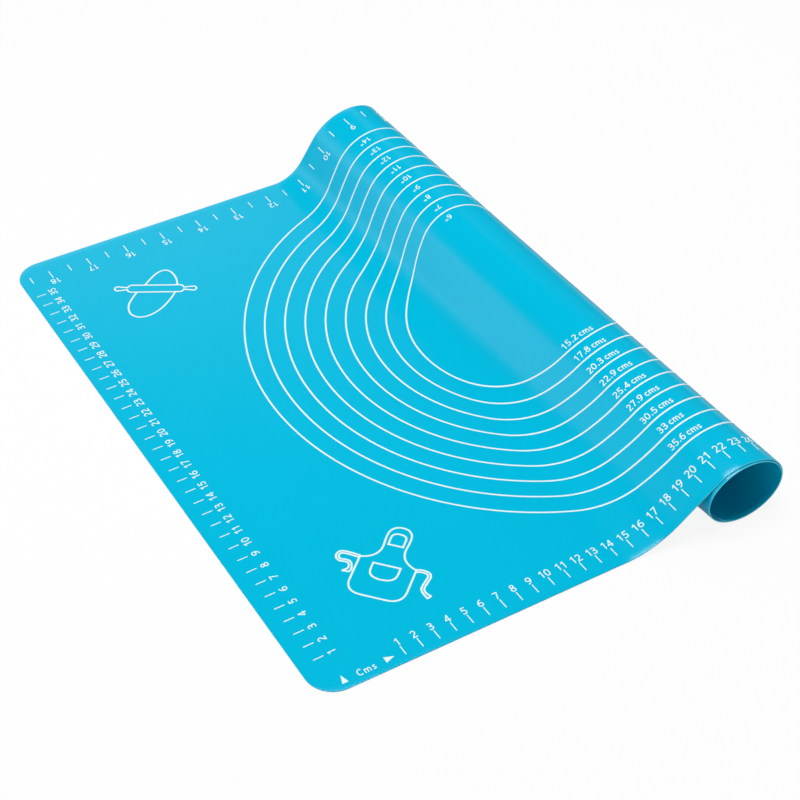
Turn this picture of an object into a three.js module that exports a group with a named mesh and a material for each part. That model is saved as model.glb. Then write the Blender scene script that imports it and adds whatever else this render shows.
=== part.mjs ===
// A silicone pastry mat, lying flat on its left side and rolled up on its right side.
// Millimetres, +Z up. X runs along the mat's long side, Y from its front edge to its back edge.
// A place on the mat is given on the sheet laid flat: s along the long side, y across it.

import * as THREE from 'three';

const DEGREE = Math.PI / 180;
const TURN = 2 * Math.PI;

// The sheet, as moulded
const LENGTH = 500;
const WIDTH = 396.5;
const THICKNESS = 0.7;
const CORNER_RADIUS = 16;

// The bend, at the front and the back edge: a flat run, a hollow rise, a straight slope, an oval roll
const FRONT_FLAT_RUN = 177.9;
const FRONT_RISE_RADIUS = 59.3;
const FRONT_RISE_ANGLE = 39.7 * DEGREE;
const FRONT_ROLL_WIDTH = 52.5;
const FRONT_ROLL_HEIGHT = 38.1;
const FRONT_ROLL_LEAN = 0;
const BACK_FLAT_RUN = 182.8;
const BACK_RISE_RADIUS = 24.4;
const BACK_RISE_ANGLE = 55.9 * DEGREE;
const BACK_ROLL_WIDTH = 55.8;
const BACK_ROLL_HEIGHT = 37.5;
const BACK_ROLL_LEAN = 28.7 * DEGREE;
const ROLL_SKEW_ANGLE = 1.32 * DEGREE;
const TURN_CLEARANCE = 0.55;
const FLOOR_CLEARANCE = 0.05;

// The white print, bonded to the upper face
const PRINT_THICKNESS = 0.1;
const PRINT_SEAT = 0.2;
const RING_LINE = 1.1;
const FIGURE_LINE = 1;
const FIGURE_CLEARANCE = 0.4;

// Pie-crust rings around the middle of the sheet, named by the crust's diameter in inches
const SMALLEST_RING_INCH = 6;
const LARGEST_RING_INCH = 14;
const RING_SPACING = 12.04;
const RING_MARGIN = 30.6;
const RING_STRETCH = 1.01;

// Rolling pin on rolled dough, set in from the left edge and the back edge
const PIN_FROM_LEFT = 69.8;
const PIN_FROM_BACK = 60.3;
const PIN_TILT = -29.5 * DEGREE;
const BARREL_LENGTH = 33;
const BARREL_WIDTH = 7;
const BARREL_CORNER = 1.6;
const HANDLE_LENGTH = 8.4;
const HANDLE_NECK = 2;
const HANDLE_KNOB = 4;
const DOUGH_LENGTH = 50;
const DOUGH_WIDTH = 21.6;
const DOUGH_SHIFT = 5.8;
const DOUGH_TILT = 42 * DEGREE;

// Apron, set in from the left edge and the front edge at the middle of its waist
const APRON_FROM_LEFT = 74.2;
const APRON_FROM_FRONT = 63;
const APRON_TILT = -48 * DEGREE;
const WAIST_WIDTH = 31.3;
const SKIRT_DROP = 24.5;
const SKIRT_CORNER = 9;
const BIB_WIDTH = 12.4;
const BIB_HEIGHT = 13;
const NECK_LOOP_HEIGHT = 14.6;
const NECK_STRAP = 2.6;
const POCKET_WIDTH = 15;
const POCKET_DROP = 1;
const POCKET_DEPTH = 10.6;
const TIE_WIDTH = 2.3;
const TIE_LINE = 0.8;
const LEFT_TIE_REACH = 11.4;
const RIGHT_TIE_REACH = 8.1;

// Fineness of the faceted surfaces
const SHEET_ROWS = 8;
const CORNER_STEPS = 6;
const RISE_STEP = 6;
const ROLL_STEP = 9 * DEGREE;
const RING_STEPS = 60;
const DOUGH_STEPS = 14;
const TIE_STEPS = 20;
const CURVE_STEPS = 7;
const FOLD_CLEARANCE = 0.1;
const SOLVER_PASSES = 12;
const PROBE = 0.05;
const GAP_POINTS = 6;
const LEAST_LENGTH = 1e-6;

const printHeight = PRINT_SEAT + PRINT_THICKNESS;
const turnPitch = THICKNESS + printHeight + TURN_CLEARANCE;
const rollLift = printHeight + FLOOR_CLEARANCE;

const silicone = new THREE.MeshStandardMaterial({ color: 0x00b8dd, roughness: 0.42, metalness: 0 });
const whitePrint = new THREE.MeshStandardMaterial({ color: 0xf4fbfd, roughness: 0.5, metalness: 0 });

// The bent sheet cut across at y: x and z of its upper face after a length s of sheet.
// Every size of the bend changes evenly from the front edge to the back edge.
// The roll is an oval whose support function shrinks by one pitch a turn, so its turns stay parallel;
// psi is the direction that the upper face looks in, and it falls as the sheet winds on.
function bendSection(y) {
  const between = (front, back) => THREE.MathUtils.lerp(front, back, y / WIDTH);
  const flatRun = between(FRONT_FLAT_RUN, BACK_FLAT_RUN);
  const riseRadius = between(FRONT_RISE_RADIUS, BACK_RISE_RADIUS);
  const riseAngle = between(FRONT_RISE_ANGLE, BACK_RISE_ANGLE);
  const rollWidth = between(FRONT_ROLL_WIDTH, BACK_ROLL_WIDTH);
  const rollHeight = between(FRONT_ROLL_HEIGHT, BACK_ROLL_HEIGHT);
  const lean = between(FRONT_ROLL_LEAN, BACK_ROLL_LEAN);

  const mean = (rollWidth + rollHeight) / 4;
  const oval = (rollWidth - rollHeight) / 4;
  const drift = turnPitch / TURN;
  const psiStart = Math.PI / 2 + riseAngle;
  const support = (psi) => mean + oval * Math.cos(2 * (psi - lean)) - drift * (Math.PI / 2 - psi);
  const slope = (psi) => -2 * oval * Math.sin(2 * (psi - lean)) + drift;
  const radius = (psi) => support(psi) - 4 * oval * Math.cos(2 * (psi - lean));
  const rollX = (psi) => support(psi) * Math.cos(psi) - slope(psi) * Math.sin(psi);
  const rollZ = (psi) => support(psi) * Math.sin(psi) + slope(psi) * Math.cos(psi);
  const travel = (psi) => mean * psi + (oval / 2) * Math.sin(2 * (psi - lean))
    - drift * (Math.PI * psi - psi * psi) / 2 + slope(psi);
  const wound = (psi) => travel(psiStart) - travel(psi);

  const centreZ = rollLift + support(-Math.PI / 2);
  const riseHeight = riseRadius * (1 - Math.cos(riseAngle));
  const slopeLength = (centreZ + rollZ(psiStart) - THICKNESS - riseHeight) / Math.sin(riseAngle);
  const riseEnd = flatRun + riseRadius * riseAngle;
  const rollStart = riseEnd + slopeLength;
  const riseEndX = flatRun + riseRadius * Math.sin(riseAngle);
  const centreX = riseEndX + slopeLength * Math.cos(riseAngle) - rollX(psiStart);

  function psiAt(s) {
    let psi = psiStart - (s - rollStart) / mean;
    for (let pass = 0; pass < SOLVER_PASSES; pass += 1) {
      psi += (wound(psi) - (s - rollStart)) / radius(psi);
    }
    return psi;
  }

  function at(s) {
    if (s <= flatRun) {
      return { x: s, z: THICKNESS };
    }
    if (s <= riseEnd) {
      const turned = (s - flatRun) / riseRadius;
      return {
        x: flatRun + riseRadius * Math.sin(turned),
        z: THICKNESS + riseRadius * (1 - Math.cos(turned)),
      };
    }
    if (s <= rollStart) {
      const run = s - riseEnd;
      return {
        x: riseEndX + run * Math.cos(riseAngle),
        z: THICKNESS + riseHeight + run * Math.sin(riseAngle),
      };
    }
    const psi = psiAt(s);
    return { x: centreX + rollX(psi), z: centreZ + rollZ(psi) };
  }

  const lengthAt = (psi) => rollStart + wound(psi);
  return { at, lengthAt, psiStart, rollStart };
}

// The upper face. What the bend draws in is also pushed to the front, as the roll is wound slightly askew.
function upperFace(s, y) {
  const { x, z } = bendSection(y).at(s);
  return new THREE.Vector3(x, y - Math.tan(ROLL_SKEW_ANGLE) * (s - x), z);
}

const frontEdge = bendSection(0);

function faceNormal(s, y) {
  const along = upperFace(s + PROBE, y).sub(upperFace(s - PROBE, y));
  const across = upperFace(s, y + PROBE).sub(upperFace(s, y - PROBE));
  return along.cross(across).normalize();
}

// A point at a height above the upper face, below it where the height is negative
function overFace(s, y, height) {
  return upperFace(s, y).addScaledVector(faceNormal(s, y), height);
}

// Rings lie around the middle of the sheet and widen by even steps up to the largest one
const ringCentre = new THREE.Vector2(LENGTH / 2, WIDTH / 2);

function ringRadius(inches) {
  const largest = Math.min(LENGTH, WIDTH) / 2 - RING_MARGIN;
  return largest - RING_SPACING * (LARGEST_RING_INCH - inches);
}

// A fold that would run along the outermost stretch of a ring is moved to just beside its line
function besideRings(s) {
  const offset = s - ringCentre.x;
  const margin = RING_STRETCH * (RING_LINE / 2 + FOLD_CLEARANCE);
  for (let inches = SMALLEST_RING_INCH; inches <= LARGEST_RING_INCH; inches += 1) {
    const past = Math.abs(offset) - RING_STRETCH * ringRadius(inches);
    if (Math.abs(past) < margin) {
      return s + Math.sign(offset) * (Math.sign(past) * margin - past);
    }
  }
  return s;
}

// Straight lines across the sheet at which the facets meet, as lengths s in rising order
function facetLines() {
  const lines = [];
  for (let step = 0; step <= CORNER_STEPS; step += 1) {
    const inset = CORNER_RADIUS * (1 - Math.cos((step / CORNER_STEPS) * (Math.PI / 2)));
    lines.push(inset, LENGTH - inset);
  }
  const riseStart = Math.min(FRONT_FLAT_RUN, BACK_FLAT_RUN);
  const riseSteps = Math.ceil((frontEdge.rollStart - riseStart) / RISE_STEP);
  for (let step = 0; step < riseSteps; step += 1) {
    lines.push(besideRings(riseStart + (step / riseSteps) * (frontEdge.rollStart - riseStart)));
  }
  let psi = frontEdge.psiStart;
  while (frontEdge.lengthAt(psi) < LENGTH - CORNER_RADIUS) {
    lines.push(besideRings(frontEdge.lengthAt(psi)));
    psi -= ROLL_STEP;
  }
  const sorted = lines.sort((a, b) => a - b);
  return sorted.filter((s, index) => index === 0 || s - sorted[index - 1] > RISE_STEP / 20);
}

const facets = facetLines();

function solid(vertices, triangles) {
  const geometry = new THREE.BufferGeometry();
  const numbers = vertices.flatMap((vertex) => vertex.toArray());
  geometry.setAttribute('position', new THREE.Float32BufferAttribute(numbers, 3));
  geometry.setIndex(triangles);
  geometry.computeVertexNormals();
  return geometry;
}

// How far the rounded corners draw the long edges in at a length s
function cornerInset(s) {
  const reach = CORNER_RADIUS - Math.min(s, LENGTH - s, CORNER_RADIUS);
  return CORNER_RADIUS - Math.sqrt(CORNER_RADIUS * CORNER_RADIUS - reach * reach);
}

function sheetGeometry() {
  const vertices = [];
  const triangles = [];
  const columns = facets.length;
  const rows = SHEET_ROWS + 1;
  for (const height of [0, -THICKNESS]) {
    for (const s of facets) {
      const inset = cornerInset(s);
      for (let row = 0; row < rows; row += 1) {
        const y = THREE.MathUtils.lerp(inset, WIDTH - inset, row / SHEET_ROWS);
        vertices.push(overFace(s, y, height));
      }
    }
  }
  const upper = (column, row) => column * rows + row;
  const lower = (column, row) => (columns + column) * rows + row;
  const quad = (a, b, c, d) => triangles.push(a, b, c, a, c, d);
  for (let column = 0; column + 1 < columns; column += 1) {
    const next = column + 1;
    for (let row = 0; row < SHEET_ROWS; row += 1) {
      quad(upper(column, row), upper(next, row), upper(next, row + 1), upper(column, row + 1));
      quad(lower(column, row), lower(column, row + 1), lower(next, row + 1), lower(next, row));
    }
    quad(lower(column, 0), lower(next, 0), upper(next, 0), upper(column, 0));
    const back = SHEET_ROWS;
    quad(upper(column, back), upper(next, back), lower(next, back), lower(column, back));
  }
  const last = columns - 1;
  for (let row = 0; row < SHEET_ROWS; row += 1) {
    quad(lower(0, row), upper(0, row), upper(0, row + 1), lower(0, row + 1));
    quad(upper(last, row), lower(last, row), lower(last, row + 1), upper(last, row + 1));
  }
  return solid(vertices, triangles);
}

// A printed line: each station has a left and a right point on the sheet, seen along the line from above
function printedLine(stations, closed) {
  const vertices = [];
  const triangles = [];
  for (const { left, right } of stations) {
    vertices.push(
      overFace(left.x, left.y, PRINT_SEAT),
      overFace(right.x, right.y, PRINT_SEAT),
      overFace(right.x, right.y, printHeight),
      overFace(left.x, left.y, printHeight),
    );
  }
  const spans = closed ? stations.length : stations.length - 1;
  for (let span = 0; span < spans; span += 1) {
    const here = span * 4;
    const next = ((span + 1) % stations.length) * 4;
    for (let side = 0; side < 4; side += 1) {
      const other = (side + 1) % 4;
      triangles.push(here + side, next + side, next + other, here + side, next + other, here + other);
    }
  }
  if (!closed) {
    const end = spans * 4;
    triangles.push(0, 1, 2, 0, 2, 3, end, end + 2, end + 1, end, end + 3, end + 2);
  }
  return solid(vertices, triangles);
}

// Stations of a line of even width along points on the sheet
function stationsAlong(points, width, closed) {
  const count = points.length;
  return points.map((point, index) => {
    const before = points[closed ? (index + count - 1) % count : Math.max(index - 1, 0)];
    const after = points[closed ? (index + 1) % count : Math.min(index + 1, count - 1)];
    const into = point.distanceTo(before) > 0 ? point.clone().sub(before).normalize() : null;
    const out = point.distanceTo(after) > 0 ? after.clone().sub(point).normalize() : null;
    const first = into ?? out;
    const second = out ?? into;
    const heading = first.clone().add(second).normalize();
    const mitre = width / 2 / Math.max(heading.dot(first), 0.5);
    const aside = new THREE.Vector2(-heading.y, heading.x).multiplyScalar(mitre);
    return { left: point.clone().add(aside), right: point.clone().sub(aside) };
  });
}

function lineAlong(points, width, closed) {
  return printedLine(stationsAlong(points, width, closed), closed);
}

// A ring's line, with a station wherever one of its edges crosses a fold of the bent sheet
function ringStations(radius) {
  const inner = radius - RING_LINE / 2;
  const outer = radius + RING_LINE / 2;
  const pointAt = (r, angle) => new THREE.Vector2(
    ringCentre.x + RING_STRETCH * r * Math.cos(angle),
    ringCentre.y + r * Math.sin(angle),
  );
  const station = (angle, innerAngle, outerAngle) => ({
    angle,
    left: pointAt(inner, innerAngle),
    right: pointAt(outer, outerAngle),
  });
  const crossing = (r, s) => Math.acos((s - ringCentre.x) / (RING_STRETCH * r));
  const bendStart = Math.min(FRONT_FLAT_RUN, BACK_FLAT_RUN);
  const folds = facets.filter((s) => s >= bendStart && Math.abs(s - ringCentre.x) < RING_STRETCH * inner);
  const stations = [station(0, 0, 0), station(Math.PI, Math.PI, Math.PI)];
  for (const s of folds) {
    const angle = crossing(radius, s);
    stations.push(station(angle, crossing(inner, s), crossing(outer, s)));
    stations.push(station(TURN - angle, -crossing(inner, s), -crossing(outer, s)));
  }
  const step = TURN / RING_STEPS;
  const regular = Array.from({ length: RING_STEPS }, (unused, index) => index * step);
  for (const angle of regular) {
    if (stations.every((other) => Math.abs(other.angle - angle) > step / 2)) {
      stations.push(station(angle, angle, angle));
    }
  }
  return stations.sort((a, b) => a.angle - b.angle);
}

// Figures are drawn on a board of their own, u to the right and v up, and then set on the sheet
function placed(points, origin, tilt) {
  return points.map((point) => point.clone().rotateAround(new THREE.Vector2(), tilt).add(origin));
}

function mirrored(points) {
  return points.map((point) => new THREE.Vector2(-point.x, point.y)).reverse();
}

// A quarter turn of an outline from one point to another, bulging towards their corner
function bend(path, corner, end) {
  path.quadraticCurveTo(corner.x, corner.y, end.x, end.y);
}

// The pin's outline: its right-hand half, drawn from the underside round the handle to the upper side,
// and the same half turned round
function pinOutline() {
  const end = BARREL_LENGTH / 2;
  const side = BARREL_WIDTH / 2;
  const neck = HANDLE_NECK / 2;
  const knob = HANDLE_KNOB / 2;
  const tip = end + HANDLE_LENGTH;
  const half = new THREE.Path();
  half.moveTo(0, -side);
  half.lineTo(end - BARREL_CORNER, -side);
  bend(half, new THREE.Vector2(end, -side), new THREE.Vector2(end, -side + BARREL_CORNER));
  half.lineTo(end, -neck);
  half.lineTo(tip - knob, -knob);
  half.absarc(tip - knob, 0, knob, -Math.PI / 2, Math.PI / 2, false);
  half.lineTo(end, neck);
  half.lineTo(end, side - BARREL_CORNER);
  bend(half, new THREE.Vector2(end, side), new THREE.Vector2(end - BARREL_CORNER, side));
  const right = half.getPoints(CURVE_STEPS);
  const left = right.map((point) => point.clone().negate());
  return [...right, ...left].filter((point, index, all) => point.distanceTo(all.at(index - 1)) > LEAST_LENGTH);
}

// The dough's oval edge where it shows on one side of the pin, its ends stopping short of the barrel
function doughArc(side) {
  const turn = DOUGH_TILT - PIN_TILT;
  const hidden = BARREL_WIDTH / 2 + FIGURE_LINE + FIGURE_CLEARANCE;
  const edge = new THREE.Vector2((DOUGH_LENGTH / 2) * Math.sin(turn), (DOUGH_WIDTH / 2) * Math.cos(turn));
  const farthest = Math.atan2(side * edge.y, side * edge.x);
  const span = Math.acos((hidden + side * DOUGH_SHIFT * Math.sin(turn)) / edge.length());
  const oval = new THREE.EllipseCurve(
    -DOUGH_SHIFT * Math.cos(turn),
    -DOUGH_SHIFT * Math.sin(turn),
    DOUGH_LENGTH / 2,
    DOUGH_WIDTH / 2,
    farthest - span,
    farthest + span,
    false,
    turn,
  );
  return oval.getPoints(DOUGH_STEPS);
}

// The apron's outline from the middle of its hem round to the top of its neck loop, and its mirror image
function apronOutline() {
  const waist = WAIST_WIDTH / 2;
  const bib = BIB_WIDTH / 2;
  const top = BIB_HEIGHT + NECK_LOOP_HEIGHT;
  const shoulder = BIB_HEIGHT + NECK_LOOP_HEIGHT / 2;
  const half = new THREE.Path();
  half.moveTo(0, -SKIRT_DROP);
  half.lineTo(waist - SKIRT_CORNER, -SKIRT_DROP);
  bend(half, new THREE.Vector2(waist, -SKIRT_DROP), new THREE.Vector2(waist, -SKIRT_DROP + SKIRT_CORNER));
  half.lineTo(waist, 0);
  half.bezierCurveTo(waist * 0.62, BIB_HEIGHT * 0.18, bib * 0.92, BIB_HEIGHT * 0.5, bib, BIB_HEIGHT);
  half.quadraticCurveTo(bib * 1.12, shoulder, bib, top - bib * 0.72);
  half.quadraticCurveTo(bib * 0.78, top, 0, top);
  const right = half.getPoints(CURVE_STEPS);
  const left = mirrored(right).slice(1, -1);
  return [...right, ...left];
}

function neckHole() {
  const side = BIB_WIDTH / 2 - NECK_STRAP + FIGURE_LINE / 2;
  const base = BIB_HEIGHT + FIGURE_LINE;
  const top = BIB_HEIGHT + NECK_LOOP_HEIGHT - NECK_STRAP - FIGURE_LINE / 2;
  const half = new THREE.Path();
  half.moveTo(0, base);
  half.lineTo(side, base);
  half.lineTo(side, (base + top) / 2);
  bend(half, new THREE.Vector2(side, top), new THREE.Vector2(0, top));
  const right = half.getPoints(CURVE_STEPS);
  return [...right, ...mirrored(right).slice(1, -1)];
}

function pocket() {
  const side = POCKET_WIDTH / 2;
  const hem = -POCKET_DROP - POCKET_DEPTH;
  const half = new THREE.Path();
  half.moveTo(0, hem);
  bend(half, new THREE.Vector2(side, hem), new THREE.Vector2(side, hem + POCKET_DEPTH * 0.6));
  half.lineTo(side, -POCKET_DROP);
  const right = half.getPoints(CURVE_STEPS);
  return [...right, ...mirrored(right).slice(0, -1)];
}

// The ribbons leave the waist sideways. The left one curls back under itself, the right one hangs in a wave.
// Their bends are given as shares of the reach, from the waist outwards and upwards.
const leftTieBends = [
  [0.12, 0],
  [0.56, 0.12],
  [0.98, 0],
  [1, -0.34],
  [0.54, -0.46],
  [0.3, -0.64],
  [0.34, -0.98],
];
const rightTieBends = [
  [0.16, 0],
  [0.72, 0.14],
  [1, -0.16],
  [0.9, -0.84],
  [0.94, -1.4],
  [1.46, -1.94],
];

function tieEdge(bends, reach) {
  const waist = WAIST_WIDTH / 2;
  const turns = bends.map(([out, up]) => new THREE.Vector2(waist + out * reach, up * reach));
  const middle = new THREE.SplineCurve(turns);
  const ribbon = stationsAlong(middle.getPoints(TIE_STEPS), TIE_WIDTH - TIE_LINE, false);
  return [...ribbon.map((station) => station.right), ...ribbon.map((station) => station.left).reverse()];
}

const mat = new THREE.Group();

function addPiece(name, geometry, material) {
  const piece = new THREE.Mesh(geometry, material);
  piece.name = name;
  mat.add(piece);
}

addPiece('mat_sheet', sheetGeometry(), silicone);

for (let inches = SMALLEST_RING_INCH; inches <= LARGEST_RING_INCH; inches += 1) {
  addPiece(`ring_${inches}_inch`, printedLine(ringStations(ringRadius(inches)), true), whitePrint);
}

const pinPlace = new THREE.Vector2(PIN_FROM_LEFT, WIDTH - PIN_FROM_BACK);
const onPin = (points, closed) => lineAlong(placed(points, pinPlace, PIN_TILT), FIGURE_LINE, closed);
addPiece('pin_outline', onPin(pinOutline(), true), whitePrint);
addPiece('dough_edge_near', onPin(doughArc(-1), false), whitePrint);
addPiece('dough_edge_far', onPin(doughArc(1), false), whitePrint);

const apronPlace = new THREE.Vector2(APRON_FROM_LEFT, APRON_FROM_FRONT);
const onApron = (points, width) => lineAlong(placed(points, apronPlace, APRON_TILT), width, true);
addPiece('apron_outline', onApron(apronOutline(), FIGURE_LINE), whitePrint);
addPiece('apron_neck_hole', onApron(neckHole(), FIGURE_LINE), whitePrint);
addPiece('apron_pocket', onApron(pocket(), FIGURE_LINE), whitePrint);
addPiece('apron_tie_left', onApron(mirrored(tieEdge(leftTieBends, LEFT_TIE_REACH)), TIE_LINE), whitePrint);
addPiece('apron_tie_right', onApron(tieEdge(rightTieBends, RIGHT_TIE_REACH), TIE_LINE), whitePrint);

// Least gap between one turn of the roll and the next, on points of the facets in sections across the roll
function leastTurnGap() {
  const halfTurn = (FRONT_ROLL_WIDTH + FRONT_ROLL_HEIGHT) * Math.PI / 4;
  const spans = facets.filter((s) => s > frontEdge.rollStart);
  let least = Infinity;
  for (let row = 0; row <= SHEET_ROWS; row += 1) {
    const level = (row / SHEET_ROWS) * WIDTH;
    const faces = [0, -THICKNESS].map((height) => {
      const folds = spans.map((s) => {
        const drawnIn = s - upperFace(s, level).x;
        return overFace(s, level + Math.tan(ROLL_SKEW_ANGLE) * drawnIn, height).setY(0);
      });
      return spans.slice(1).flatMap((s, index) => Array.from({ length: GAP_POINTS }, (unused, part) => ({
        s: THREE.MathUtils.lerp(spans[index], s, part / GAP_POINTS),
        point: folds[index].clone().lerp(folds[index + 1], part / GAP_POINTS),
      })));
    });
    for (const inside of faces[0]) {
      for (const outside of faces[1].filter((other) => inside.s - other.s > halfTurn)) {
        least = Math.min(least, inside.point.distanceTo(outside.point));
      }
    }
  }
  return least;
}

console.log(`least gap between two turns of the roll: ${leastTurnGap().toFixed(2)} mm`);

// The origin is under the middle of the whole part, on the surface that it lies on
const middle = new THREE.Box3().setFromObject(mat).getCenter(new THREE.Vector3());
mat.position.set(-middle.x, -middle.y, 0);

export default mat;
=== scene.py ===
"""A silicone pastry mat, half rolled up: the bent sheet, its white print and a plain stage."""

import math

import bpy
import numpy as np
from bpy.props import FloatProperty, FloatVectorProperty, IntProperty, PointerProperty
from mathutils.geometry import delaunay_2d_cdt
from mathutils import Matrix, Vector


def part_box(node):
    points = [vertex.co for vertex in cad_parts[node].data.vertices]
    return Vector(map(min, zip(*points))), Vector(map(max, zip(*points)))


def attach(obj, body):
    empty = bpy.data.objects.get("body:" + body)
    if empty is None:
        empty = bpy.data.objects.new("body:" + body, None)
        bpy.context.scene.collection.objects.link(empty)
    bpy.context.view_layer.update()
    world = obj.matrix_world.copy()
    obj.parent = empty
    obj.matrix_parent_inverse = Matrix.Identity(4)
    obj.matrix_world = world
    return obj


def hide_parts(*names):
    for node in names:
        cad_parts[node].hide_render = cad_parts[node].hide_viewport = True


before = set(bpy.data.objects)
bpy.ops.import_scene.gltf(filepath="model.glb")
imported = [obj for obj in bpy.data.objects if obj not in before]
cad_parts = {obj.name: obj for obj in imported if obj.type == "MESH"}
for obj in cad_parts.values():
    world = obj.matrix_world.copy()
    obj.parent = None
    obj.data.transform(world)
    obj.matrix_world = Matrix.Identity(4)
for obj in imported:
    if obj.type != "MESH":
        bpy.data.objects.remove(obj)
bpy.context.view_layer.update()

bl_info = {
    "name": "Rolled Pastry Mat",
    "version": (1, 0, 0),
    "blender": (4, 5, 0),
    "location": "3D View > Sidebar > Pastry Mat",
    "description": "Builds a half rolled silicone pastry mat with its rings, scales and figures",
    "category": "Add Mesh",
}

BODY = "root"
MM = 0.001
CENTIMETRE = 10 * MM
INCH = 25.4 * MM

# Fineness of the meshes
CORNER_COLUMNS = 10
FLAT_STEP = 4 * MM
BENT_STEP = 1.7 * MM
ROW_STEP = 4 * MM
RIM_STEPS = 8
RING_STEP = 1.2 * MM
TICK_POINTS = 7
ARC_POINTS = 15
CURVE_POINTS = 12
FAR_DOUGH_POINTS = 40
NEAR_DOUGH_POINTS = 60
RIBBON_POINTS = 48
TIP_POINTS = 5
SHARP_ANGLE = math.radians(40)

# Working of the bend
SOLVER_PASSES = 12
PROBE = 0.05 * MM

# Drawing of the print
SAME_PLACE = 1e-9
CUT_TOLERANCE = 1e-5
KEEP_ALL_TRIANGLES = 0
LEAST_CORNER_COSINE = 0.5
OVERLAP = 0.3 * MM
RIBBON_PARTS = 6

# Finishes
# The rim attribute carries a painted highlight: a lighter silicone tone on the edge of the bent
# sheet, from the bend onwards
RIM_HIGHLIGHT = "rim"
RIM_HIGHLIGHT_FADE = 70 * MM
REFRACTION = 1.41
TONE_DETAIL = 3.0
GLOSS_DETAIL = 4.0
GLOSS_FINENESS = 4
GRAIN_DETAIL = 2.0
GRAIN_STRENGTH = 0.35

# Sockets of the mix node when it mixes colours
MIX_SHARE, MIX_FIRST, MIX_SECOND, MIX_COLOUR = 0, 6, 7, 2

# Stage: metres, degrees, and spans of the x, y or z of a direction of length 1
WHITE = (1.0, 1.0, 1.0, 1.0)
FLOOR_REACH = 12.0
FLOOR_LEVEL = -0.1 * MM
FLOOR_GLOW = 0.9
FLOOR_IN_SHINE = 0.25
LAMP_PLACE = (-0.1, 0.1, 1.7)
LAMP_SIZE = (1.2, 0.9)
LAMP_POWER = 27
CEILING_SLANT = -0.12
CEILING_EDGE = (0.47, 0.65)
WALL_END = (0.25, 0.5)
WALL_FOOT = (0.12, 0.37)
WALL_FOOT_TONE = 0.12
LIGHT_EDGE = (0.5, 0.68)
FRONT_TO_BACK = (-0.8, 0.8)
FRONT_LIGHT = 0.5
SENSOR_WIDTH = 36.0
LENS = 86.6727
CAMERA_PLACE = (-0.415547, -0.735713, 0.730095)
CAMERA_TURN = (48.5526, -0.00095, -30.6096)


# Sizes and colours that a user would change


def distance(name, description, millimetres):
    """A length of the mat, kept in metres."""
    return FloatProperty(name=name, description=description, default=millimetres * MM,
                         precision=5, subtype="DISTANCE", unit="LENGTH")


def turn(name, description, degrees):
    """An angle on the mat, kept in radians."""
    return FloatProperty(name=name, description=description, default=math.radians(degrees),
                         subtype="ANGLE", unit="ROTATION")


def share(name, description, number):
    """A length as a share of another one."""
    return FloatProperty(name=name, description=description, default=number,
                         precision=4, subtype="FACTOR")


def whole(name, description, number):
    """A whole number."""
    return IntProperty(name=name, description=description, default=number)


def at_edges(name, description, values, **kind):
    """A size of the bend at the front edge and at the back edge."""
    description += ", at the front and the back edge"
    return FloatVectorProperty(name=name, description=description, default=values, size=2, **kind)


def edge_distances(name, description, front, back):
    """A length at both edges, kept in metres."""
    return at_edges(name, description, (front * MM, back * MM), precision=5, unit="LENGTH")


def edge_angles(name, description, front, back):
    """An angle at both edges, kept in radians."""
    return at_edges(name, description, (math.radians(front), math.radians(back)), unit="ROTATION")


def colour(name, description, red, green, blue):
    """A colour of a finish, as linear light."""
    return FloatVectorProperty(name=name, description=description, default=(red, green, blue, 1.0),
                               size=4, min=0.0, max=1.0, subtype="COLOR")


class PastryMatSheet(bpy.types.PropertyGroup):
    """The sheet as it was moulded, and the way that it is bent."""

    length: distance("Length", "Long side of the flat sheet", 500)
    width: distance("Width", "Short side of the flat sheet", 396.5)
    thickness: distance("Thickness", "Thickness of the silicone", 0.7)
    corner: distance("Corner radius", "Radius of the four rounded corners", 16)
    flat_run: edge_distances("Flat run", "Length that lies flat before the rise", 178.7, 183.1)
    rise_radius: edge_distances("Rise radius", "Radius of the bend at the slope's foot", 52.4, 25)
    rise_angle: edge_angles("Rise angle", "Steepness of the slope up to the roll", 42.1, 56.1)
    roll_width: edge_distances("Roll width", "Long axis of the oval roll", 50.4, 55.4)
    roll_height: edge_distances("Roll height", "Short axis of the oval roll", 40.7, 37.5)
    roll_lean: edge_angles("Roll lean", "Turn of the oval's long axis", -2.4, 26.3)
    turn_pitch: distance("Turn pitch", "Distance from one turn of the roll to the next", 0.85)
    roll_lift: distance("Roll lift", "Height of the roll's lowest line over the table", 0.35)
    skew: edge_angles("Roll skew", "Turn of the rising sheet to the front", 1.24, -0.07)
    skew_run: distance("Skew run", "Length of sheet over which it turns to the front", 95)
    edge_skew: turn("Edge skew", "Further skew of the front edge", 1.26)
    edge_reach: distance("Edge reach", "Width of sheet over which the further skew fades", 45)
    creep: share("Turn creep", "Push to the front, as a share of the wound length", 0.0057)


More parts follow.
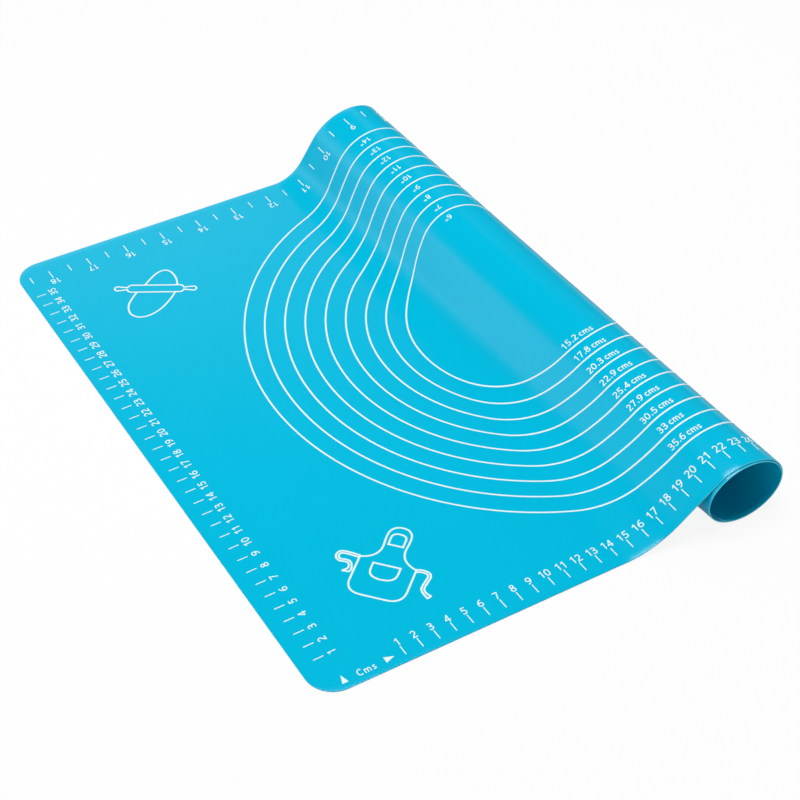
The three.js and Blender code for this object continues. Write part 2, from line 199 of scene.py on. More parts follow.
class PastryMatPrint(bpy.types.PropertyGroup):
    """The white print on the upper face, laid out on the flat sheet."""

    ink: distance("Ink thickness", "Height of the print over the silicone", 0.1)
    seat: distance("Ink seat", "Depth of the print in the silicone", 0.05)
    slant: turn("Print slant", "Turn of the whole print on the sheet", 0.95)
    start_along: distance("Scale start along", "Front scale's zero, from the left edge", 41.2)
    start_across: distance("Scale start across", "Front scale's foot, from the front edge", 6.41)
    ring_line: distance("Ring line", "Width of a ring's line", 1)
    ring_spacing: distance("Ring spacing", "Step from one ring's radius to the next", 12.04)
    ring_margin: distance("Ring margin", "Room from the largest ring to the long edges", 30.6)
    ring_stretch: share("Ring stretch", "Length of a ring, as a share of its width", 1.01)
    smallest_ring: whole("Smallest ring", "Diameter that names it, in inches", 6)
    largest_ring: whole("Largest ring", "Diameter that names it, in inches", 14)
    figure_line: distance("Figure line", "Width of the lines of the two figures", 1.05)
    tie_gap: distance("Tie gap", "Distance between the two lines of an apron's tie", 1.5)
    tick_line: distance("Tick line", "Width of a tick", 0.55)
    digit: distance("Digit height", "Height of the scales' digits", 4.6)
    weight: share("Digit weight", "Stroke width, as a share of the digit's height", 0.13)
    front_count: whole("Front centimetres", "Last number of the front scale", 44)
    left_count: whole("Left centimetres", "Last number of the left scale", 35)
    back_count: whole("Back inches", "Last number of the back scale", 18)


class PastryMatFinish(bpy.types.PropertyGroup):
    """Colours of the mat and of the stage."""

    silicone: colour("Silicone", "Colour of the silicone", 0.0, 0.500, 0.735)
    silicone_deep: colour("Silicone, deeper", "Colour of denser pigment", 0.0, 0.475, 0.710)
    # Painted highlight: a lighter tone for the edge of the bent sheet and the roll, standing in for
    # light that catches the rim
    silicone_rim: colour("Silicone, rim", "Colour of the roll's lit rim", 0.10, 0.66, 0.85)
    ink: colour("Ink", "Colour of the print", 0.80, 0.92, 0.93)
    ink_thin: colour("Ink, thinner", "Colour where the print is thinner", 0.74, 0.90, 0.92)
    floor: colour("Floor", "Colour of the floor", 0.85, 0.85, 0.85)


# The bent sheet


class BentSheet:
    """The upper face of the bent sheet, as a function of two lengths on the flat sheet: s along its
    long side from the left edge, and y across it from the front edge."""

    def __init__(self, sheet):
        self.sheet = sheet
        low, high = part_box("mat_sheet")
        self.origin = np.array((low.x, high.y - sheet.width, 0.0))

    def between(self, pair, y):
        """A size of the bend at y: it changes evenly from the front edge to the back edge."""
        return pair[0] + (pair[1] - pair[0]) * y / self.sheet.width

    def profile(self, s, y):
        """Length x and height z: a flat run, then an arc, then a straight slope, then an oval roll.
        The roll has the support function mean + oval * cos(2 (psi - lean)), which shrinks by one
        pitch a turn. psi is the direction that the face looks in. Its point is the support along
        psi plus the support's slope across psi, and psi is found from the length of sheet that is
        wound up, by Newton's steps."""
        sheet = self.sheet
        flat_run = self.between(sheet.flat_run, y)
        rise_radius = self.between(sheet.rise_radius, y)
        rise_angle = self.between(sheet.rise_angle, y)
        width = self.between(sheet.roll_width, y)
        height = self.between(sheet.roll_height, y)
        lean = self.between(sheet.roll_lean, y)
        mean = (width + height) / 4
        oval = (width - height) / 4
        drift = sheet.turn_pitch / math.tau
        start = math.pi / 2 + rise_angle

        def support(psi):
            return mean + oval * np.cos(2 * (psi - lean)) - drift * (math.pi / 2 - psi)

        def slope(psi):
            return drift - 2 * oval * np.sin(2 * (psi - lean))

        def roll_x(psi):
            return support(psi) * np.cos(psi) - slope(psi) * np.sin(psi)

        def roll_z(psi):
            return support(psi) * np.sin(psi) + slope(psi) * np.cos(psi)

        def travel(psi):
            return (mean * psi + oval / 2 * np.sin(2 * (psi - lean))
                    - drift * (math.pi * psi - psi * psi) / 2 + slope(psi))

        centre_z = sheet.roll_lift + support(-math.pi / 2)
        rise_height = rise_radius * (1 - np.cos(rise_angle))
        climb = centre_z + roll_z(start) - sheet.thickness - rise_height
        slope_length = climb / np.sin(rise_angle)
        rise_end = flat_run + rise_radius * rise_angle
        roll_start = rise_end + slope_length
        rise_end_x = flat_run + rise_radius * np.sin(rise_angle)
        centre_x = rise_end_x + slope_length * np.cos(rise_angle) - roll_x(start)

        wound = np.maximum(s - roll_start, 0.0)
        psi = start - wound / mean
        for _ in range(SOLVER_PASSES):
            radius = support(psi) - 4 * oval * np.cos(2 * (psi - lean))
            psi = psi + (travel(start) - travel(psi) - wound) / radius

        bent = (s - flat_run) / rise_radius
        climbed = s - rise_end
        places = [s <= flat_run, s <= rise_end, s <= roll_start]
        x = np.select(places, [
            s,
            flat_run + rise_radius * np.sin(bent),
            rise_end_x + climbed * np.cos(rise_angle),
        ], centre_x + roll_x(psi))
        z = np.select(places, [
            np.full_like(x, sheet.thickness),
            sheet.thickness + rise_radius * (1 - np.cos(bent)),
            sheet.thickness + rise_height + climbed * np.sin(rise_angle),
        ], centre_z + roll_z(psi))
        return x, z

    def push(self, s, y):
        """How far the sheet is pushed to the front. Over the skew run, it is the length that has
        left the table times the tangent of the skew, which is larger near the front edge. After
        that, it grows by the creep."""
        sheet = self.sheet
        run = s - self.between(sheet.flat_run, y)
        edge_skew = math.tan(sheet.edge_skew) * np.exp(-y / sheet.edge_reach)
        skew = np.tan(self.between(sheet.skew, y)) + edge_skew
        beyond = np.maximum(run - sheet.skew_run, 0)
        return skew * np.clip(run, 0, sheet.skew_run) + sheet.creep * beyond

    def upper(self, s, y):
        """Points of the upper face: the bent profile at y, pushed to the front."""
        s, y = np.broadcast_arrays(s, y)
        x, z = self.profile(s, y)
        return self.origin + np.stack((x, y - self.push(s, y), z), axis=-1)

    def over(self, s, y, height):
        """The upper face moved along its normal. The normal is the cross product of the face's
        directions along and across the sheet, each taken over a short probe."""
        along = self.upper(s + PROBE, y) - self.upper(s - PROBE, y)
        across = self.upper(s, y + PROBE) - self.upper(s, y - PROBE)
        normal = np.cross(along, across)
        normal /= np.linalg.norm(normal, axis=-1, keepdims=True)
        return self.upper(s, y) + normal * np.asarray(height)[..., None]


# Meshes


def new_piece(name, points, faces, material):
    """A mesh object from whole arrays of points and faces, on the part's body, with its finish."""
    mesh = bpy.data.meshes.new(name)
    mesh.from_pydata(points.tolist(), [], faces.tolist())
    mesh.validate()
    mesh.polygons.foreach_set("use_smooth", np.ones(len(mesh.polygons), bool))
    mesh.set_sharp_from_angle(angle=SHARP_ANGLE)
    mesh.materials.append(material)
    piece = bpy.data.objects.new(name, mesh)
    bpy.context.scene.collection.objects.link(piece)
    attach(piece, BODY)
    return piece


def sheet_columns(sheet):
    """Lengths s of the sheet's grid: rows of a quarter circle in the corners, so that the arc is
    even, wide steps on the flat run and short steps on the bend."""
    radius = sheet.corner - sheet.thickness / 2
    quarter = np.linspace(0, math.pi / 2, CORNER_COLUMNS)
    corner = sheet.thickness / 2 + radius * (1 - np.cos(quarter))
    bend_start = min(sheet.flat_run)
    flat = np.linspace(corner[-1], bend_start, round((bend_start - sheet.corner) / FLAT_STEP))
    bend_end = sheet.length - sheet.corner
    bent = np.linspace(bend_start, bend_end, round((bend_end - bend_start) / BENT_STEP))
    return np.concatenate((corner[:-1], flat[:-1], bent[:-1], sheet.length - corner[::-1]))


def sheet_grid(sheet):
    """Places (s, y) of the sheet's grid, half a thickness inside its edges. It is drawn in at the
    rounded corners by the corner circle's height."""
    half = sheet.thickness / 2
    radius = sheet.corner - half
    columns = sheet_columns(sheet)
    reach = np.clip(radius - np.minimum(columns, sheet.length - columns) + half, 0, radius)
    inset = (half + radius - np.sqrt(radius ** 2 - reach ** 2))[:, None]
    across = np.linspace(0, 1, round(sheet.width / ROW_STEP) + 1)
    s = np.repeat(columns[:, None], len(across), axis=1)
    return np.stack((s, inset + across * (sheet.width - 2 * inset)), axis=-1)


def sheet_mesh(sheet, bent):
    """Points, faces, flat places and rim points of the sheet. Its upper and lower face are one
    grid, offset by the thickness. Its rim is half a circle of the thickness, carried round the
    border."""
    half = sheet.thickness / 2
    places = sheet_grid(sheet)
    size = places.shape[0] * places.shape[1]
    grid = np.arange(size).reshape(places.shape[:2])
    places = places.reshape(-1, 2)
    border = np.concatenate((grid[:, 0], grid[-1, 1:], grid[-2::-1, -1], grid[0, -2:0:-1]))
    edge = places[border]
    inner = np.clip(edge, sheet.corner, (sheet.length - sheet.corner, sheet.width - sheet.corner))
    outward = (edge - inner) / np.linalg.norm(edge - inner, axis=1, keepdims=True)
    angles = np.linspace(math.pi / 2, -math.pi / 2, RIM_STEPS + 1)[1:-1]
    rim = edge + outward * half * np.cos(angles)[:, None, None]
    rim_height = np.repeat((half * np.sin(angles) - half)[:, None], len(border), axis=1)

    flat = np.concatenate((places, places, rim.reshape(-1, 2)))
    height = np.concatenate((np.zeros(size), np.full(size, -sheet.thickness), rim_height.ravel()))
    points = bent.over(flat[:, 0], flat[:, 1], height)

    upper = np.stack((grid[:-1, :-1], grid[1:, :-1], grid[1:, 1:], grid[:-1, 1:]), axis=-1)
    upper = upper.reshape(-1, 4)
    lower = upper[:, ::-1] + size
    between = 2 * size + np.arange(rim_height.size).reshape(rim_height.shape)
    rings = np.vstack((border, between, border + size))
    after = np.roll(rings, -1, axis=1)
    walls = np.stack((rings[:-1], rings[1:], after[1:], after[:-1]), axis=-1).reshape(-1, 4)
    return points, np.vstack((upper, lower, walls)), flat, np.arange(len(points)) >= 2 * size


def lay_out(mesh, places):
    """A UV map that holds each point's place on the flat sheet, as shares of the sheet's extent."""
    corners = np.zeros(len(mesh.loops), np.int32)
    mesh.loops.foreach_get("vertex_index", corners)
    shares = (places - places.min(axis=0)) / np.ptp(places, axis=0)
    uv = mesh.uv_layers.new(name="flat_sheet")
    uv.uv.foreach_set("vector", shares[corners].astype(np.float32).ravel())


def mark_rim(mesh, places, rim, start):
    """An attribute that is 1 on the rim of the roll and 0 elsewhere: it marks where the painted
    highlight goes. It rises over a short length of sheet from the start of the bend."""
    shares = np.clip((places[:, 0] - start) / RIM_HIGHLIGHT_FADE, 0, 1) * rim
    attribute = mesh.attributes.new(RIM_HIGHLIGHT, "FLOAT", "POINT")
    attribute.data.foreach_set("value", shares.astype(np.float32))


# Print: flat patches of points and triangles, counter-clockwise from above


def join(patches):
    """One patch out of several: all points in a row, and the triangles counted on."""
    starts = np.cumsum([0] + [len(points) for points, _ in patches[:-1]])
    triangles = [corners + start for (_, corners), start in zip(patches, starts)]
    return np.vstack([points for points, _ in patches]), np.vstack(triangles)


def turned(points, angle):
    """Points turned about the origin."""
    cos, sin = math.cos(angle), math.sin(angle)
    return points @ np.array(((cos, sin), (-sin, cos)))


def placed(patch, place, angle=0.0):
    """A patch turned about its origin and moved to a place."""
    points, triangles = patch
    return turned(points, angle) + place, triangles


def line(start, end, points=2):
    """Points of a straight line, evenly spaced."""
    return np.linspace(start, end, points)


def arc(centre, radii, start, end, points=ARC_POINTS):
    """Points of an ellipse's arc between two angles in degrees: the centre plus the radii times the
    cosine and the sine."""
    angles = np.radians(np.linspace(start, end, points))
    return np.array(centre) + np.column_stack((np.cos(angles), np.sin(angles))) * radii


def bezier(*controls):
    """Points of a Bezier curve: the controls weighted by the binomial terms of t and 1 - t."""
    degree = len(controls) - 1
    t = np.linspace(0, 1, CURVE_POINTS)[:, None]
    order = np.arange(degree + 1)
    ways = np.array([math.comb(degree, k) for k in order])
    return (ways * t ** order * (1 - t) ** (degree - order)) @ np.array(controls)


def spline(knots, points):
    """Points of a curve through all knots: on each span a cubic whose slopes at its ends are half
    the difference of the neighbouring knots."""
    knots = np.asarray(knots)
    padded = np.vstack((knots[:1], knots, knots[-1:]))
    t = np.linspace(0, len(knots) - 1, points)
    span = np.minimum(t.astype(int), len(knots) - 2)
    t = (t - span)[:, None]
    before, first, second, after = (padded[span + k] for k in range(4))
    leave, arrive = (second - before) / 2, (after - first) / 2
    return ((2 * t ** 3 - 3 * t ** 2 + 1) * first + (t ** 3 - 2 * t ** 2 + t) * leave
            + (3 * t ** 2 - 2 * t ** 3) * second + (t ** 3 - t ** 2) * arrive)


def path(*parts):
    """Parts of a line run together, without repeated points."""
    points = np.vstack(parts)
    apart = np.linalg.norm(np.diff(points, axis=0), axis=1) > SAME_PLACE
    return points[np.concatenate(((True,), apart))]


def mirrored(points):
    """A path's mirror image, left for right, that runs the other way."""
    return (points * (-1, 1))[::-1]


def loop(half):
    """A closed outline: half of it and its mirror image, run together."""
    points = path(half, mirrored(half))
    closes = np.linalg.norm(points[0] - points[-1]) < SAME_PLACE
    return points[:-1] if closes else points


def sides(points, width, closed=False):
    """Left and right side of a band along a path: each point moved half the width, square to the
    mean of the directions before and after it, and further at a corner, so that the band keeps its
    width."""
    ahead = np.vstack((points[1:], points[:1])) - points
    heading = ahead / np.linalg.norm(ahead, axis=1, keepdims=True)
    before = np.roll(heading, 1, axis=0)
    if not closed:
        heading[-1] = heading[-2]
        before[0] = heading[0]
    mean = before + heading
    mean /= np.linalg.norm(mean, axis=1, keepdims=True)
    reach = width / 2 / np.maximum(np.sum(mean * before, axis=1), LEAST_CORNER_COSINE)
    aside = np.column_stack((-mean[:, 1], mean[:, 0])) * reach[:, None]
    return points + aside, points - aside


def band(points, width, closed=False):
    """A patch of even width along a path: two triangles between each pair of neighbours."""
    left, right = sides(points, width, closed)
    count = len(points)
    here = np.arange(count if closed else count - 1)
    following = (here + 1) % count
    first = np.column_stack((here + count, following + count, following))
    second = np.column_stack((here + count, following, here))
    return np.vstack((left, right)), np.vstack((first, second))


def union(strokes, width):
    """A patch that covers all strokes of a sign once: their outlines cut each other, and the
    triangles that lie in any of them are kept."""
    bands = [sides(stroke, width) for stroke in strokes]
    outlines = [np.vstack((right, left[::-1])) for left, right in bands]
    ends = np.cumsum([len(outline) for outline in outlines])
    faces = [list(range(end - len(outline), end)) for end, outline in zip(ends, outlines)]
    points, _, triangles, _, _, owners = delaunay_2d_cdt(
        np.vstack(outlines).tolist(), [], faces, KEEP_ALL_TRIANGLES, CUT_TOLERANCE)
    covered = [corners for corners, owner in zip(triangles, owners) if owner]
    return np.array(points), np.array(covered)


def ink_piece(name, patch, bent, layout, material):
    """A printed piece: the patch set on the bent sheet, once at the ink's height and once in the
    silicone, with a wall wherever an edge of a triangle has no neighbour."""
    points, triangles = patch
    count = len(points)
    top, seat = (bent.over(points[:, 0], points[:, 1], np.full(count, height))
                 for height in (layout.ink, -layout.seat))
    edges = np.vstack((triangles[:, (0, 1)], triangles[:, (1, 2)], triangles[:, (2, 0)]))
    alone = ~np.isin(edges @ (count, 1), edges @ (1, count))
    start, end = edges[alone].T
    walls = np.vstack((np.column_stack((start + count, end + count, end)),
                       np.column_stack((start + count, end, start))))
    faces = np.vstack((triangles, triangles[:, ::-1] + count, walls))
    return new_piece(name, np.vstack((top, seat)), faces, material)


# Digits and unit signs, drawn as strokes in a box of height 1


def sign_strokes(weight):
    """Centre lines of each sign's strokes, with the room that the sign takes along the line."""
    half = weight / 2
    top = 1 - half
    letter = 0.67
    hump = 0.24
    arch = letter - hump

    def bow(centre, wide, tall, start, end):
        """An arc whose stroke keeps within the half width and the half height."""
        return arc(centre, (wide - half, tall - half), start, end)

    def ring(centre, wide, tall):
        """A whole oval, as two strokes that overlap where they meet."""
        return bow(centre, wide, tall, -5, 185), bow(centre, wide, tall, 175, 365)

    six = (*ring((0.32, 0.31), 0.32, 0.31), bow((0.56, 0.33), 0.56, 0.67, 180, 92))
    return {
        "0": (ring((0.32, 0.5), 0.32, 0.5), 0.76),
        "1": ((line((0.36, 0), (0.36, 1), 8), line((0.1, 0.73), (0.36, 0.94), 4)), 0.7),
        "2": ((path(bow((0.3, 0.7), 0.3, 0.3, 155, -35), line((0.42, 0.52), (0.12, 0.11), 4)),
               line((0.04, half), (0.62, half), 5)), 0.74),
        "3": ((bow((0.28, 0.745), 0.29, 0.255, 150, -90), bow((0.28, 0.29), 0.33, 0.29, 90, -145),
               line((0.16, 0.535), (0.3, 0.535), 3)), 0.73),
        "4": ((line((0.48, 0), (0.48, 1), 8), line((0.02, 0.3), (0.68, 0.3), 6),
               line((0.46, 0.94), (0.09, 0.33), 6)), 0.78),
        "5": ((bow((0.28, 0.32), 0.33, 0.33, 125, -145), line((0.14, 0.48), (0.17, top), 4),
               line((0.1, top), (0.58, top), 5)), 0.74),
        "6": (six, 0.75),
        "7": ((line((0.04, top), (0.62, top), 5), line((0.54, 0.95), (0.22, 0), 8)), 0.72),
        "8": ((*ring((0.32, 0.75), 0.275, 0.25), *ring((0.32, 0.285), 0.32, 0.285)), 0.76),
        "9": (tuple((0.64, 1) - stroke for stroke in six), 0.75),
        ".": ((line((0.15, 0), (0.15, 0.2), 3),), 0.36),
        '"': ((line((0.16, 0.66), (0.16, 1), 3), line((0.4, 0.66), (0.4, 1), 3)), 0.56),
        " ": ((), 0.24),
        "c": ((bow((0.31, letter / 2), 0.3, letter / 2, 52, 308),), 0.57),
        "m": ((line((0.12, 0), (0.12, letter), 6),
               path(arc((0.3, arch), (0.18, hump - half), 170, 0),
                    line((0.48, arch), (0.48, 0), 5)),
               path(arc((0.66, arch), (0.18, hump - half), 170, 0),
                    line((0.84, arch), (0.84, 0), 5))), 1.0),
        "s": ((spline(((0.47, 0.6), (0.28, 0.63), (0.14, 0.52), (0.29, 0.36), (0.44, 0.2),
                       (0.29, half), (0.08, 0.12)), 16),), 0.56),
        "C": ((bow((0.44, 0.5), 0.43, 0.5, 52, 308),), 0.78),
    }


class Lettering:
    """Sets digits and unit signs as patches, each sign worked out once."""

    def __init__(self, weight):
        self.signs = {}
        for sign, (strokes, room) in sign_strokes(weight).items():
            self.signs[sign] = (union(strokes, weight) if strokes else None, room)

    def word(self, text, height, spacing=0.0):
        """The signs in a row, each moved on by the room of those before it, about their middle."""
        rooms = np.array([self.signs[sign][1] + spacing for sign in text])
        starts = np.cumsum(rooms) - rooms
        patches = [placed(self.signs[sign][0], (start, 0)) for sign, start in zip(text, starts)
                   if self.signs[sign][0] is not None]
        points, triangles = join(patches)
        middle = ((points[:, 0].min() + points[:, 0].max()) / 2, 0.5)
        return (points - middle) * height, triangles


# Layout of the print


def on_sheet(patches, layout):
    """All patches of the printing screen as one patch on the sheet: moved to the scales' start,
    then turned by the slant."""
    points, triangles = join(patches)
    start = (layout.start_along, layout.start_across)
    return turned(points + start, layout.slant), triangles


def ring_radii(sheet, layout):
    """Radius of each ring's line, by its name in inches: the largest fills the width but for the
    margin, and each smaller one is a step further in."""
    largest = min(sheet.length, sheet.width) / 2 - layout.ring_margin
    names = range(layout.smallest_ring, layout.largest_ring + 1)
    return {name: largest - layout.ring_spacing * (layout.largest_ring - name) for name in names}


def ring_patches(sheet, layout):
    """Each ring is a band along an ellipse about the middle of the sheet."""
    centre = (sheet.length / 2, sheet.width / 2)
    patches = []
    for radius in ring_radii(sheet, layout).values():
        steps = round(math.tau * radius / RING_STEP)
        outline = arc(centre, (radius * layout.ring_stretch, radius), 0, 360, steps + 1)[:-1]
        patches.append(band(outline, layout.ring_line, closed=True))
    return patches


def ring_size_patches(sheet, layout, lettering):
    """Each ring's diameter on its inner side: inches at its back, turned to the back edge, and
    centimetres at its front, on the slanted line through the rings' middle."""
    centre = np.array((sheet.length / 2, sheet.width / 2))
    back_gap, front_gap = 5.6 * MM, 5.0 * MM
    back_size, front_size = layout.digit * 0.87, layout.digit * 0.95
    patches = []
    for inches, radius in ring_radii(sheet, layout).items():
        back = centre + turned(np.array((0, radius - back_gap)), layout.slant)
        front = centre - turned(np.array((0, radius - front_gap)), layout.slant)
        centimetres = f"{inches * INCH / CENTIMETRE:.1f}".removesuffix(".0")
        inch_word = lettering.word(f'{inches}"', back_size)
        centimetre_word = lettering.word(f"{centimetres} cms", front_size)
        patches.append(placed(inch_word, back, math.pi + layout.slant))
        patches.append(placed(centimetre_word, front, layout.slant))
    return patches


def tick(middle, reach, layout):
    """A straight tick, the reach to both sides of its middle."""
    middle, reach = np.array(middle), np.array(reach)
    return band(line(middle - reach, middle + reach, TICK_POINTS), layout.tick_line)


def front_scale(layout, lettering):
    """Centimetre ticks along the front edge, with digits on their inner side."""
    tick_middle, tick_reach = 0.28 * MM, 3.07 * MM
    digit_size, digit_middle = layout.digit * 1.05, 6.5 * MM
    patches = []
    for number in range(1, layout.front_count + 1):
        along = number * CENTIMETRE
        patches.append(tick((along, tick_middle), (0, tick_reach), layout))
        patches.append(placed(lettering.word(str(number), digit_size), (along, digit_middle)))
    return patches


def front_signs(layout, lettering):
    """The unit of the two centimetre scales between two arrow heads, on the sheet's own axes."""
    right_arrow = np.array(((40.0, 4.56), (45.4, 6.51), (40.0, 8.46))) * MM
    up_arrow = np.array(((14.35, 3.81), (17.85, 3.81), (16.1, 9.26))) * MM
    triangle = np.array(((0, 1, 2),))
    size, spacing, place = 4.2 * MM, 0.12, (29.05 * MM, 6.11 * MM)
    unit = placed(lettering.word("Cms", size, spacing), place, layout.slant)
    return [(right_arrow, triangle), (up_arrow, triangle), unit]


def left_scale(layout, lettering):
    """Centimetre ticks along the left edge, with digits on their inner side that read from the
    right."""
    zero = 7.96 * MM
    tick_middle, tick_reach, digit_middle = -28.6 * MM, 3 * MM, -20.9 * MM
    patches = []
    for number in range(1, layout.left_count + 1):
        across = zero + number * CENTIMETRE
        digits = lettering.word(str(number), layout.digit)
        patches.append(tick((tick_middle, across), (tick_reach, 0), layout))
        patches.append(placed(digits, (digit_middle, across), math.pi / 2))
    return patches


def back_scale(layout, lettering):
    """Inch ticks along the back edge, counted from the right, with digits that read from the back,
    and shorter ticks at the half inches."""
    zero, foot, digit_middle = 442.13 * MM, 377.85 * MM, 366.9 * MM
    inch_reach, half_reach = 3.7 * MM, 3.2 * MM
    patches = []
    for number in range(1, layout.back_count + 1):
        along = zero - number * INCH
        digits = lettering.word(str(number), layout.digit)
        patches.append(tick((along, foot - inch_reach), (0, inch_reach), layout))
        patches.append(tick((along - INCH / 2, foot - half_reach), (0, half_reach), layout))
        patches.append(placed(digits, (along, digit_middle), math.pi))
    return patches


def pin_patch(sheet, layout):
    """Rolling pin on dough: a barrel with bevelled ends and two handles that widen to a round knob,
    and the dough's round edge on both sides of the barrel."""
    end, side, bevel = 16.7 * MM, 3.4 * MM, 2.2 * MM
    neck, knob, tip = 1.0 * MM, 2.0 * MM, 25 * MM
    bulge, root = end - 0.2 * MM, end + 0.6 * MM
    half = path(
        line((-OVERLAP, -side), (end - bevel, -side)),
        bezier((end - bevel, -side), (bulge, -side), (root, -neck)),
        line((root, -neck), (tip - knob, -knob)),
        arc((tip - knob, 0), (knob, knob), -90, 90),
        line((tip - knob, knob), (root, neck)),
        bezier((root, neck), (bulge, side), (end - bevel, side)),
        line((end - bevel, side), (-OVERLAP, side)),
    )
    far = np.array(((-6.9, 3.4), (-3.95, 9.54), (-1.23, 14.2), (1.63, 17.2), (4.95, 18.25),
                    (8.16, 16.55), (10.58, 12.78), (12.21, 8.73), (13.1, 3.4))) * MM
    near = np.array(((-11.2, -3.4), (-13.8, -10.54), (-14.96, -15.38), (-14.83, -19.74),
                     (-13.37, -24.1), (-10.43, -26.84), (-6.76, -27.67), (-2.94, -26.7),
                     (1.06, -23.9), (4.94, -19.45), (8.17, -13.89), (10.52, -8.57),
                     (12.3, -3.4))) * MM
    dough = [spline(far, FAR_DOUGH_POINTS), spline(near, NEAR_DOUGH_POINTS)]
    place, angle = (69.5 * MM, sheet.width - 61 * MM), math.radians(-29.5)
    return placed(union([half, -half, *dough], layout.figure_line), place, angle)


def tie_strokes(knots, tips, gap):
    """Lines of a ribbon: both sides of a curve through the knots, and its end from tip to tip. The
    sides open from the gap to the tips over the last of the curve's parts, by the way squared."""
    left, right = sides(spline(np.array(knots) * MM, RIBBON_POINTS), gap)
    tips = np.array(tips) * MM
    way = np.clip(np.linspace(1 - RIBBON_PARTS, 1, RIBBON_POINTS), 0, 1)[:, None] ** 2
    left = left + way * (tips[0] - left[-1])
    right = right + way * (tips[1] - right[-1])
    return [left, right, line(*tips, TIP_POINTS)]


def apron_patch(layout):
    """Apron: its skirt, bib and neck loop with two ribbons at the waist, and closed bands round the
    neck hole and the pocket."""
    waist, right_waist, left_waist = 15.65 * MM, 0.3 * MM, 1.5 * MM
    hem, hem_corner = -24.5 * MM, 9 * MM
    bib, bib_top, top = 6.2 * MM, 13 * MM, 27.6 * MM
    waist_pull, bib_pull = (waist * 0.62, bib_top * 0.18), (bib * 0.92, bib_top * 0.5)
    loop_pull, loop_end = (bib * 1.12, (bib_top + top) / 2), (bib, top - bib * 0.72)
    crown_pull = (bib * 0.78, top)

    def outline(waist_height):
        """The right half of the apron, from the middle of the hem to the top of the neck loop."""
        return path(
            line((-OVERLAP, hem), (waist - hem_corner, hem)),
            bezier((waist - hem_corner, hem), (waist, hem), (waist, hem + hem_corner)),
            bezier((waist, waist_height), waist_pull, bib_pull, (bib, bib_top)),
            bezier((bib, bib_top), loop_pull, loop_end),
            bezier(loop_end, crown_pull, (0, top)),
            line((0, top), (-OVERLAP, top)),
        )

    line_width = layout.figure_line
    hole_side, hole_base, hole_top, hole_bend = 4.1 * MM, bib_top + line_width, 22.7 * MM, 3.4 * MM
    hole = path(
        line((0, hole_base), (hole_side, hole_base)),
        bezier((hole_side, hole_top - hole_bend), (hole_side, hole_top), (0, hole_top)),
    )
    pocket_side, pocket_top, pocket_hem, pocket_bend = 7.5 * MM, -1 * MM, -11.6 * MM, 6.36 * MM
    pocket_corner = (pocket_side, pocket_hem + pocket_bend)
    pocket = path(
        bezier((0, pocket_hem), (pocket_side, pocket_hem), pocket_corner),
        line(pocket_corner, (pocket_side, pocket_top)),
    )
    left_tie = ((-15.54, 1.14), (-19.84, 1.63), (-23.57, 1.74), (-26.13, 1.13), (-27.1, -0.77),
                (-26.63, -2.84), (-24.8, -4.16), (-22.11, -3.95), (-19.95, -4.22),
                (-18.45, -6.26), (-18.05, -8.95), (-19.27, -11.02))
    left_tips = ((-17.14, -10.85), (-21.45, -11.33))
    right_tie = ((15.06, -0.33), (18.64, 0.55), (21.96, 0.03), (23.47, -1.98), (23.13, -5.79),
                 (22.56, -9.84), (23.08, -12.31), (24.93, -14.28), (27.44, -15.93))
    right_tips = ((28.21, -14.78), (26.81, -17.09))
    strokes = [outline(right_waist), mirrored(outline(left_waist))]
    strokes += tie_strokes(left_tie, left_tips, layout.tie_gap)
    strokes += tie_strokes(right_tie, right_tips, layout.tie_gap)
    rounds = [band(loop(half), line_width, closed=True) for half in (hole, pocket)]
    place, angle = (74.2 * MM, 62.41 * MM), math.radians(-48)
    return placed(join([union(strokes, line_width), *rounds]), place, angle)


# Finishes


def feed(tree, node, inputs):
    """Links each input from another node's output, or sets its own value."""
    for name, value in inputs.items():
        if isinstance(value, bpy.types.NodeSocket):
            tree.links.new(value, node.inputs[name])
        else:
            node.inputs[name].default_value = value


def add_node(tree, kind, inputs=None, **settings):
    """A node with its settings and its inputs."""
    node = tree.nodes.new(kind)
    for name, value in settings.items():
        setattr(node, name, value)
    feed(tree, node, inputs or {})
    return node


def clouds(tree, coordinates, scale, detail):
    """Even noise on the piece's own coordinates."""
    inputs = {"Vector": coordinates, "Scale": scale, "Detail": detail}
    return add_node(tree, "ShaderNodeTexNoise", inputs).outputs["Fac"]


def mixed_tones(tree, amount, first, second):
    """The first tone, with the given amount of the second."""
    inputs = {MIX_SHARE: amount, MIX_FIRST: first, MIX_SECOND: second}
    return add_node(tree, "ShaderNodeMix", inputs, data_type="RGBA").outputs[MIX_COLOUR]


def mottled_finish(name, first, second, cloud_scale, roughness, grain_scale, grain_depth):
    """A satin finish: two tones mixed by soft clouds, an uneven roughness and a fine grain."""
    material = bpy.data.materials.new(name)
    material.use_nodes = True
    tree = material.node_tree
    coordinates = add_node(tree, "ShaderNodeTexCoord").outputs["Object"]
    tone = mixed_tones(tree, clouds(tree, coordinates, cloud_scale, TONE_DETAIL), first, second)
    patches = clouds(tree, coordinates, cloud_scale * GLOSS_FINENESS, GLOSS_DETAIL)
    gloss = add_node(tree, "ShaderNodeMapRange",
                     {"Value": patches, "To Min": roughness[0], "To Max": roughness[1]})
    grain = clouds(tree, coordinates, grain_scale, GRAIN_DETAIL)
    bump = add_node(tree, "ShaderNodeBump",
                    {"Height": grain, "Strength": GRAIN_STRENGTH, "Distance": grain_depth})
    feed(tree, tree.nodes["Principled BSDF"], {
        "Base Color": tone,
        "Roughness": gloss.outputs["Result"],
        "Normal": bump.outputs["Normal"],
        "IOR": REFRACTION,
    })
    return material


